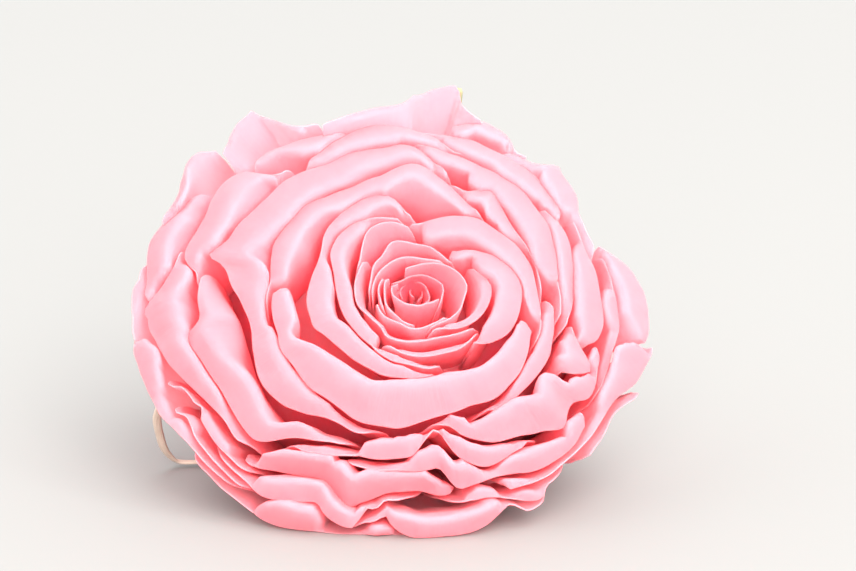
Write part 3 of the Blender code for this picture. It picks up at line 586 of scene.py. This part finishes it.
def petal_controls(petal, azimuth, outside):
    """Six points at each azimuth that shape a petal there, from its root to the edge of its lip."""
    name, lip, lift, rim = petal
    first, last = rim[0][0], rim[-1][0]
    share = np.clip((azimuth - first) / (last - first), 0.0, 1.0)
    radius = rim_radius(petal, azimuth)
    width = smooth_curve(lip, azimuth) if lip is ROLLED_LIP else lip_widths(lip, share)
    width = width * (1 - outside ** 2)
    gap = room_inside(petal, azimuth, radius)
    room = gap - PETAL_CLEARANCE
    room = np.minimum(room, calmed(room, ROOM_CALM))
    width = np.clip(width, 0.0, np.maximum(room, 0.0))
    edge = rim_points(azimuth, radius, lift)
    rolled = rim_points(azimuth, radius - width, lift + RISES[name] * width)
    rolled[:, 2] += LIP_ROUND * (rolled[:, 2] - edge[:, 2])
    depth = min(sum(r for _, r in rim) / len(rim) / FULL_ROOT_RADIUS, 1.0)
    spread = PETAL_BASE_RADIUS * depth
    a = np.radians(azimuth)
    base = np.full(len(a), mix(BUD_BASE_HEIGHT, PETAL_BASE_HEIGHT, depth))
    root = np.stack([spread * np.cos(a), spread * np.sin(a), base], axis=1)
    pressed = pressed_share(a)
    rise = edge[:, 2] - root[:, 2]
    low = mix(root, edge, column(mix(*ROOT_REACH, pressed)))
    low[:, 2] = root[:, 2] + rise * mix(*ROOT_RISE, pressed)
    low[:, :2] *= column(np.minimum(1.0, BACK_RADIUS / np.hypot(low[:, 0], low[:, 1])))
    full = mix(root, rolled, column(mix(*BELLY_REACH, pressed)))
    full[:, 2] = root[:, 2] + rise * mix(*BELLY_RISE, pressed)
    nearest = calmed(highest_near(radius - gap, NEIGHBOUR_REACH), NEIGHBOUR_CALM)
    held_radius = mix(nearest + HELD_ROOM, radius - width, STEEPNESS.get(name, 0.0))
    held = rim_points(azimuth, np.minimum(held_radius, radius - width), lift)
    held[:, 2] = np.minimum(smooth_curve(DOME, nearest) - DIPS[name], rolled[:, 2] - HELD_BELOW)
    belly = mix(held, full, column(pressed))
    close = np.maximum(0.0, LEAST_RUN - np.linalg.norm(belly - rolled, axis=1))
    belly = belly + unit(low - belly) * column(close)
    under = mix(belly, low, UNDER_SHARE)
    upright = edge + unit(belly - edge) * UPRIGHT_REACH
    crown = mix(upright, rolled, column(np.minimum(width / LIP_FULL, 1.0)))
    return np.stack([root, low, under, belly, crown, edge])


def calmed(values, reach):
    """Values averaged over their neighbours on both sides."""
    count = 2 * reach + 1
    return np.convolve(np.pad(values, reach, mode="edge"), np.full(count, 1 / count), mode="valid")


def highest_near(values, reach):
    """The highest of each value and its neighbours on both sides."""
    padded = np.pad(values, reach, mode="edge")
    return np.max([padded[k:k + len(values)] for k in range(2 * reach + 1)], axis=0)


def pressed_share(angle):
    """How far directions face the surface that the head lies on, from 0 to 1."""
    return np.maximum(0.0, -np.sin(angle)) ** PRESSED_POWER


def spline(controls, share):
    """Points by column and row, at shares of the length of smooth curves through the controls."""
    lengths = np.linalg.norm(np.diff(controls, axis=0), axis=2)
    knots = np.concatenate([np.zeros((1, lengths.shape[1])), np.cumsum(lengths, axis=0)])
    slopes = np.empty_like(controls)
    slopes[1:-1] = (controls[2:] - controls[:-2]) / (knots[2:] - knots[:-2])[:, :, None]
    slopes[0] = (controls[1] - controls[0]) / lengths[0][:, None]
    slopes[-1] = (controls[-1] - controls[-2]) / lengths[-1][:, None]
    at = share * column(knots[-1])
    piece = sum((at >= column(knot)).astype(int) for knot in knots[1:-1])
    columns = np.arange(at.shape[0])[:, None]
    length = lengths[piece, columns][:, :, None]
    t = (at[:, :, None] - knots[piece, columns][:, :, None]) / length
    return between(t, length, controls[piece, columns], slopes[piece, columns],
                   controls[piece + 1, columns], slopes[piece + 1, columns])


def petal_grid(petal, start, ruffle, seed):
    """Points of a petal's middle surface by column and row, and how far each lies from its margin."""
    rim = petal[3]
    tail = TAILS[petal[0]]
    first, last = rim[0][0], rim[-1][0]
    mean_radius = sum(r for _, r in rim) / len(rim)
    step = math.degrees(COLUMN_STEP / max(mean_radius, LEAST_RADIUS))
    count = max(LEAST_COLUMNS, int((last - first + 2 * tail) / step))
    azimuth = np.linspace(first - tail, last + tail, count)
    outside = np.maximum(np.maximum(first - azimuth, azimuth - last), 0.0) / tail
    controls = petal_controls(petal, azimuth, outside)
    rows = 1 - (1 - np.linspace(0, 1, ROWS)) ** ROW_POWER
    fall = mix(TAIL_FALL, 1.0, np.sqrt(np.maximum(1 - outside ** TAIL_POWER, 0.0)))
    end = column(mix(start, 1.0, fall))
    share = start + (end - start) * rows[None, :]
    grid = spline(controls, share)
    total = column(np.sum(np.linalg.norm(np.diff(controls, axis=0), axis=2), axis=0))
    inset = (end - share) * total
    waves = ruffles(azimuth, mean_radius, ruffle, seed)
    lift = column(waves) * np.clip(1 - (1 - share) * total / RUFFLE_REACH, 0.0, 1.0) ** 2
    grid[:, :, 1] -= RISE_SLIDE * lift
    grid[:, :, 2] += lift
    return grid + unevenness(grid), inset


def unevenness(grid):
    """Small moves, smooth in space, so that neighbours bend alike and keep apart."""
    moves = [noise.turbulence_vector(Vector(point) / BEND_SIZE, BEND_OCTAVES, False)
             for point in grid.reshape(-1, 3)]
    return BEND_HEIGHT * np.array(moves).reshape(grid.shape)


def ruffles(azimuth, radius, height, seed):
    """Heights of the soft waves along a rim."""
    values = [sum(share * noise.noise(Vector((place / length, seed * step, plane)))
                  for length, share, step, plane in RUFFLES)
              for place in np.radians(azimuth) * radius]
    return height * RUFFLE_GAIN * np.array(values)


def unit(vectors):
    length = np.linalg.norm(vectors, axis=-1, keepdims=True)
    return vectors / np.maximum(length, TINY)


def blade(name, grid, inset, thickness, shade_share=1.0):
    """A thin closed skin round a middle surface, with a rounded margin, laid down in the model's frame."""
    across, along = grid.shape[:2]
    normal = unit(np.cross(np.gradient(grid, axis=0), np.gradient(grid, axis=1)))
    half = thickness[:, :, None] / 2
    count = across * along
    border = [(i, 0) for i in range(across)] + [(across - 1, j) for j in range(1, along)]
    border += [(i, along - 1) for i in range(across - 2, -1, -1)] + [(0, j) for j in range(along - 2, 0, -1)]
    i, j = np.array(border).T
    inward = grid[np.clip(i, 1, across - 2), np.clip(j, 1, along - 2)]
    bulge = grid[i, j] + unit(grid[i, j] - inward) * half[i, j]
    upper_side, lower_side = grid + normal * half, grid - normal * half
    points = np.concatenate([upper_side.reshape(-1, 3), lower_side.reshape(-1, 3), bulge])
    a = (column(np.arange(across - 1)) * along + np.arange(along - 1)).ravel()
    front = np.stack([a, a + along, a + along + 1, a + 1], axis=1)
    back = front[:, ::-1] + count
    loop = i * along + j
    after = np.roll(loop, -1)
    ring = np.arange(len(border)) + 2 * count
    ring_after = np.roll(ring, -1)
    upper = np.stack([after, loop, ring, ring_after], axis=1)
    lower = np.stack([loop + count, after + count, ring_after, ring], axis=1)
    faces = np.concatenate([front, back, upper, lower])
    insets = np.concatenate([inset.ravel(), inset.ravel(), inset[i, j]])
    steps = np.linalg.norm(np.diff(grid, axis=0), axis=2)
    length = np.concatenate([np.zeros((1, along)), np.cumsum(steps, axis=0)])
    length -= length[across // 2]
    widest = length[:, -1:] * np.ones((1, along))
    lengths = np.concatenate([widest.ravel(), widest.ravel(), widest[i, j]])
    # The depth below the face carries the painted shade of the petal colour
    values = {"inset": insets, "depth": depth_below_face(points, shade_share), "across": lengths,
              "seed": np.full(len(points), float(sum(map(ord, name)) % SEEDS))}
    return shape(name, points, faces, values)


def depth_below_face(points, share=1.0):
    """A share of how deep upright points lie below the dome of the face, and more in the heart; it sets the
    painted shade in the petal colour.
    """
    radius = np.hypot(points[:, 0], points[:, 1])
    shift = HEART_SHIFT * np.maximum(0.0, 1 - radius / HEART_REACH)
    radius = np.hypot(points[:, 0] - shift, points[:, 1])
    depth = smooth_curve(DOME, radius) - points[:, 2]
    return depth * share * (1 + HEART_PAINTED_SHADE * np.maximum(0.0, 1 - radius / HEART_RADIUS))


def shape(name, points, faces, values):
    """An object from upright points and faces, laid down, with a value at each point for its material."""
    mesh = bpy.data.meshes.new(name)
    mesh.from_pydata((lying(points) * METRE).tolist(), [], [list(map(int, face)) for face in faces])
    mesh.update()
    for key, numbers in values.items():
        layer = mesh.attributes.new(key, "FLOAT", "POINT")
        layer.data.foreach_set("value", np.asarray(numbers, np.float32))
    mesh.shade_smooth()
    made = bpy.data.objects.new(name, mesh)
    bpy.context.scene.collection.objects.link(made)
    return made


def lying(points):
    """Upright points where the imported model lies."""
    x, y, z = points.T
    laid = np.stack([x, y * TURN_COS - z * TURN_SIN, y * TURN_SIN + z * TURN_COS], axis=1) + RING_CENTRE
    pressed = REST_GAP + REST_SOFTNESS * np.exp((laid[:, 2] - REST_GAP - REST_SOFTNESS) / REST_SOFTNESS)
    laid[:, 2] = np.where(laid[:, 2] < REST_GAP + REST_SOFTNESS, pressed, laid[:, 2])
    return laid


def stands_for(piece, node, finish):
    """Dress a piece, attach it to the root body and hide the node that it stands for."""
    piece.data.materials.append(finish)
    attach(piece, "root")
    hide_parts(node)


def build_petals(finish):
    for group in GROUPS:
        for petal in group["petals"]:
            grid, inset = petal_grid(petal, group["start"], group["ruffle"], ROW_OF[petal[0]] + 1)
            thickness = mix(MARGIN_THICKNESS, PETAL_THICKNESS, np.clip(inset / MARGIN_REACH, 0, 1))
            piece = blade(petal[0], grid, inset, thickness, group["depth"])
            stands_for(piece, "bloom", finish)


def curve_through(points, count):
    """Points of a smooth line through the given points."""
    points = np.array(points, float)
    length = np.concatenate([[0], np.cumsum(np.linalg.norm(np.diff(points, axis=0), axis=1))])
    at = np.linspace(0, length[-1], count)
    return np.stack([smooth_curve(list(zip(length, axis)), at) for axis in points.T], axis=1)


def upright(points):
    """Where lying points are in the upright flower."""
    x, y, z = (points - RING_CENTRE).T
    return np.stack([x, y * TURN_COS + z * TURN_SIN, z * TURN_COS - y * TURN_SIN], axis=1)


def ribbon_grid(line, sides, widths, keel):
    """Points of a narrow leaf by place across and along, bent outward along its middle."""
    ahead = unit(np.gradient(line, axis=0))
    outward = unit(np.cross(ahead, sides))
    return np.array([line + sides * column(x * widths) + outward * column(keel * (1 - x * x) * widths)
                     for x in np.linspace(-1, 1, RIBBON_COLUMNS)])


def build_calyx(green, straw):
    hip = turned("hip", finer(HIP_PROFILE), TURNED_SIDES)
    stands_for(hip, "calyx", green)
    for number, (azimuth, half_width, middle) in enumerate(SEPALS, 1):
        a = math.radians(azimuth)
        line = curve_through([(r * math.cos(a), r * math.sin(a), h) for r, h in middle], SEPAL_ROWS)
        side = np.tile([-math.sin(a), math.cos(a), 0.0], (SEPAL_ROWS, 1))
        share = np.linspace(0, 1, SEPAL_ROWS)
        waves = np.array([noise.noise(Vector((place * NOTCHES, number * NOTCH_STEP, 0))) for place in share])
        widths = mix(half_width, SEPAL_TIP, share ** SEPAL_TAPER) * (1 + NOTCH_SHARE * waves)
        grid = ribbon_grid(line, side, widths, SEPAL_KEEL / half_width)
        inset = np.tile((1 - share) * SEPAL_LENGTH, (len(grid), 1))
        thickness = np.full(grid.shape[:2], SEPAL_THICKNESS)
        piece = blade("sepal_" + str(number), grid, inset, thickness)
        stands_for(piece, "calyx", green)
    lying_line = curve_through(THREAD, THREAD_ROWS) + np.array([RING_CENTRE[0], RING_CENTRE[1], 0.0])
    ahead = np.gradient(lying_line, axis=0)
    flat_sides = unit(np.cross(ahead, [0.0, 0.0, 1.0]))
    line = upright(lying_line)
    sides = upright(flat_sides + RING_CENTRE)
    share = np.linspace(0, 1, THREAD_ROWS)
    grid = ribbon_grid(line, sides, np.full(THREAD_ROWS, THREAD_WIDTH / 2), THREAD_KEEL)
    thickness = np.full(grid.shape[:2], THREAD_THICKNESS)
    piece = blade("sepal_thread", grid, np.tile(share * SEPAL_LENGTH, (len(grid), 1)), thickness)
    stands_for(piece, "calyx", straw)


def finer(profile):
    """A profile with points added along its straight steps."""
    points = [profile[0]]
    for (r0, h0), (r1, h1) in zip(profile, profile[1:]):
        pieces = max(1, round(math.hypot(r1 - r0, h1 - h0) / TURNED_STEP))
        points += [(mix(r0, r1, k / pieces), mix(h0, h1, k / pieces)) for k in range(1, pieces + 1)]
    return points


def turned(name, profile, sides, pressed=0.0):
    """A solid turned about the flower's axis from a profile that starts and ends on it."""
    points, faces, rings = [], [], []
    for radius, height in profile:
        angles = np.radians(np.arange(1 if radius == 0 else sides) * 360 / sides)
        reach = radius * (1 - pressed * pressed_share(angles))
        rings.append(list(range(len(points), len(points) + len(angles))))
        points += [(r * math.cos(a), r * math.sin(a), height) for r, a in zip(reach, angles)]
    for upper, lower in zip(rings, rings[1:]):
        for k in range(sides):
            n = (k + 1) % sides
            corners = (upper[k % len(upper)], lower[k % len(lower)],
                       lower[n % len(lower)], upper[n % len(upper)])
            faces.append(list(dict.fromkeys(corners)))
    points = np.array(points, float)
    around = np.arctan2(points[:, 1], points[:, 0]) * np.hypot(points[:, 0], points[:, 1])
    # The depth below the face carries the painted shade of the petal colour on the core
    values = {"inset": -points[:, 2], "depth": depth_below_face(points), "across": around,
              "seed": np.zeros(len(points))}
    return shape(name, points, faces, values)


class Finish:
    """A node material under construction."""

    def __init__(self, name):
        self.material = bpy.data.materials.new(name)
        self.material.use_nodes = True
        self.nodes = self.material.node_tree.nodes
        self.links = self.material.node_tree.links
        self.shader = self.nodes["Principled BSDF"]

    def value(self, name):
        """A number that each piece carries at its points."""
        node = self.nodes.new("ShaderNodeAttribute")
        node.attribute_name = name
        return node.outputs["Fac"]

    def place(self, scale, across, along, seed):
        """Where a noise is read, which is stretched by its own scale across and along a piece."""
        node = self.nodes.new("ShaderNodeCombineXYZ")
        self.feed(node.inputs[0], self.sum("MULTIPLY", across, scale[0]))
        self.feed(node.inputs[1], self.sum("MULTIPLY", along, scale[1]))
        self.feed(node.inputs[2], seed)
        return node.outputs[0]

    def feed(self, socket, source):
        """Set a socket to a number or a colour, or link another socket to it."""
        if isinstance(source, (int, float)):
            socket.default_value = source
        elif isinstance(source, tuple):
            socket.default_value = (*source, 1.0)
        else:
            self.links.new(source, socket)

    def sum(self, kind, a, b):
        node = self.nodes.new("ShaderNodeMath")
        node.operation = kind
        self.feed(node.inputs[0], a)
        self.feed(node.inputs[1], b)
        return node.outputs[0]

    def span(self, source, low, high, to_low=0.0, to_high=1.0):
        """The source stretched from one span of values to another, and held inside it."""
        node = self.nodes.new("ShaderNodeMapRange")
        self.feed(node.inputs["Value"], source)
        for key, number in (("From Min", low), ("From Max", high), ("To Min", to_low), ("To Max", to_high)):
            node.inputs[key].default_value = number
        return node.outputs["Result"]

    def noise(self, place, scale=1.0, detail=2.0, rough=0.5):
        node = self.nodes.new("ShaderNodeTexNoise")
        self.links.new(place, node.inputs["Vector"])
        node.inputs["Scale"].default_value = scale
        node.inputs["Detail"].default_value = detail
        node.inputs["Roughness"].default_value = rough
        return node.outputs["Fac"]

    def blend(self, share, a, b):
        node = self.nodes.new("ShaderNodeMix")
        node.data_type = "RGBA"
        self.feed(node.inputs["Factor"], share)
        sockets = [socket for socket in node.inputs if socket.type == "RGBA"]
        self.feed(sockets[0], a)
        self.feed(sockets[1], b)
        return [socket for socket in node.outputs if socket.type == "RGBA"][0]

    def bump(self, height, distance, strength):
        node = self.nodes.new("ShaderNodeBump")
        node.inputs["Distance"].default_value = distance
        node.inputs["Strength"].default_value = strength
        self.links.new(height, node.inputs["Height"])
        self.links.new(node.outputs["Normal"], self.shader.inputs["Normal"])
        return node.outputs["Normal"]


def petal_finish():
    """Pink petal tissue: paler at the margin, with painted shade that deepens the colour where it lies deep
    below the face, veined, lit through.
    """
    made = Finish("petal_tissue")
    inset, depth = made.value("inset"), made.value("depth")
    across, seed = made.value("across"), made.value("seed")
    spots = made.noise(made.place(SPOT_SCALE, across, inset, seed))
    veins = made.noise(made.place(VEIN_SCALE, across, inset, seed), 1.0, *VEIN_DETAIL)
    grain = made.noise(made.place(GRAIN_SCALE, across, inset, seed))
    colour = made.blend(made.span(inset, *LIP_SPAN), PETAL_LIP, PETAL_PINK)
    # Painted shade: a deeper red the deeper the petal lies below the face, in the shaded gaps
    colour = made.blend(made.span(depth, *PAINTED_SHADE_SPAN), colour, PETAL_PAINTED_SHADE)
    colour = made.blend(made.span(spots, *SPOT_SPAN), colour, PETAL_PALE)
    colour = made.blend(made.span(veins, *VEIN_SPAN), colour, PETAL_VEIN)
    colour = made.blend(made.span(inset, *MARGIN_SPAN), colour, PETAL_MARGIN)
    made.feed(made.shader.inputs["Base Color"], colour)
    made.feed(made.shader.inputs["Roughness"], made.span(grain, *GRAIN_SPAN))
    made.bump(made.sum("ADD", veins, made.sum("MULTIPLY", grain, GRAIN_RELIEF)), *PETAL_RELIEF)
    for key, number in PETAL_SHADER.items():
        made.shader.inputs[key].default_value = number
    through = made.nodes.new("ShaderNodeBsdfTranslucent")
    made.feed(through.inputs["Color"], PETAL_GLOW)
    both = made.nodes.new("ShaderNodeMixShader")
    made.feed(both.inputs["Fac"], PETAL_THROUGH)
    made.feed(both.inputs[1], made.shader.outputs["BSDF"])
    made.feed(both.inputs[2], through.outputs["BSDF"])
    made.feed(made.nodes["Material Output"].inputs["Surface"], both.outputs["Shader"])
    return made.material


def dried_finish(name, light, dark, rough):
    """Dried green or straw tissue with lengthwise streaks."""
    made = Finish(name)
    inset, across = made.value("inset"), made.value("across")
    where = made.nodes.new("ShaderNodeTexCoord").outputs["Object"]
    patches = made.noise(where, *PATCHES)
    streaks = made.noise(made.place(STREAK_SCALE, across, inset, 0.0))
    mixed = made.sum("ADD", made.sum("MULTIPLY", patches, 0.5), made.sum("MULTIPLY", streaks, 0.5))
    rough_span = (*DRIED_ROUGH_SPAN, rough - DRIED_ROUGH_SPREAD, rough + DRIED_ROUGH_SPREAD)
    made.feed(made.shader.inputs["Base Color"], made.blend(made.span(mixed, *DRIED_SPAN), dark, light))
    made.feed(made.shader.inputs["Roughness"], made.span(patches, *rough_span))
    made.bump(mixed, *DRIED_RELIEF)
    return made.material


def add_area_light(name, place, size, energy):
    light = bpy.data.lights.new(name, "AREA")
    light.size = size
    light.energy = energy
    light.color = LIGHT_COLOUR
    made = bpy.data.objects.new(name, light)
    made.location = place
    made.rotation_euler = (Vector(LIGHT_TARGET) - made.location).to_track_quat("-Z", "Y").to_euler()
    bpy.context.scene.collection.objects.link(made)


def build_stage():
    """A plain pale floor and soft light all round."""
    bpy.ops.mesh.primitive_plane_add(size=FLOOR_SIZE)
    floor = bpy.context.object
    floor.name = "floor"
    paper = Finish("floor_paper")
    paper.feed(paper.shader.inputs["Base Color"], FLOOR_COLOUR)
    paper.feed(paper.shader.inputs["Roughness"], FLOOR_ROUGHNESS)
    floor.data.materials.append(paper.material)
    world = bpy.data.worlds.new("studio")
    world.use_nodes = True
    sky = world.node_tree.nodes["Background"]
    sky.inputs["Color"].default_value = (*SKY_COLOUR, 1.0)
    sky.inputs["Strength"].default_value = SKY_STRENGTH
    bpy.context.scene.world = world
    for light in LIGHTS:
        add_area_light(*light)


def build_camera():
    elevation = math.radians(CAMERA_ELEVATION)
    ahead = np.array([0.0, math.cos(elevation), -math.sin(elevation)])
    up = np.array([0.0, math.sin(elevation), math.cos(elevation)])
    right = np.array([1.0, 0.0, 0.0])
    focal = PIXELS_PER_MM * CAMERA_DISTANCE
    off_right = (RING_PIXEL[0] - PHOTO_WIDTH / 2) / focal
    off_up = (PHOTO_HEIGHT / 2 - RING_PIXEL[1]) / focal
    place = RING_CENTRE - (ahead + right * off_right + up * off_up) * CAMERA_DISTANCE
    data = bpy.data.cameras.new("camera")
    data.sensor_width = SENSOR_WIDTH
    data.lens = focal / PHOTO_WIDTH * SENSOR_WIDTH
    data.clip_start = NEAREST_SEEN * METRE
    camera = bpy.data.objects.new("camera", data)
    turn = Matrix((right, up, -ahead)).transposed().to_4x4()
    camera.matrix_world = Matrix.Translation(Vector(place * METRE)) @ turn
    bpy.context.scene.collection.objects.link(camera)
    bpy.context.scene.camera = camera


RIM_CHANGES = arrange_rims()

bpy.context.scene.view_settings.view_transform = "Standard"
build_camera()
build_stage()
petals = petal_finish()
green = dried_finish("dried_green", *DRIED_GREEN)
straw = dried_finish("dried_straw", *DRIED_STRAW)
noise.seed_set(BEND_SEED)
build_petals(petals)
stands_for(turned("core", CORE_PROFILE, CORE_SIDES, PRESSED_CORE), "bloom", petals)
build_calyx(green, straw)
stands_for(turned("stem_piece", finer(STEM_PROFILE), TURNED_SIDES), "stem_stub", green)
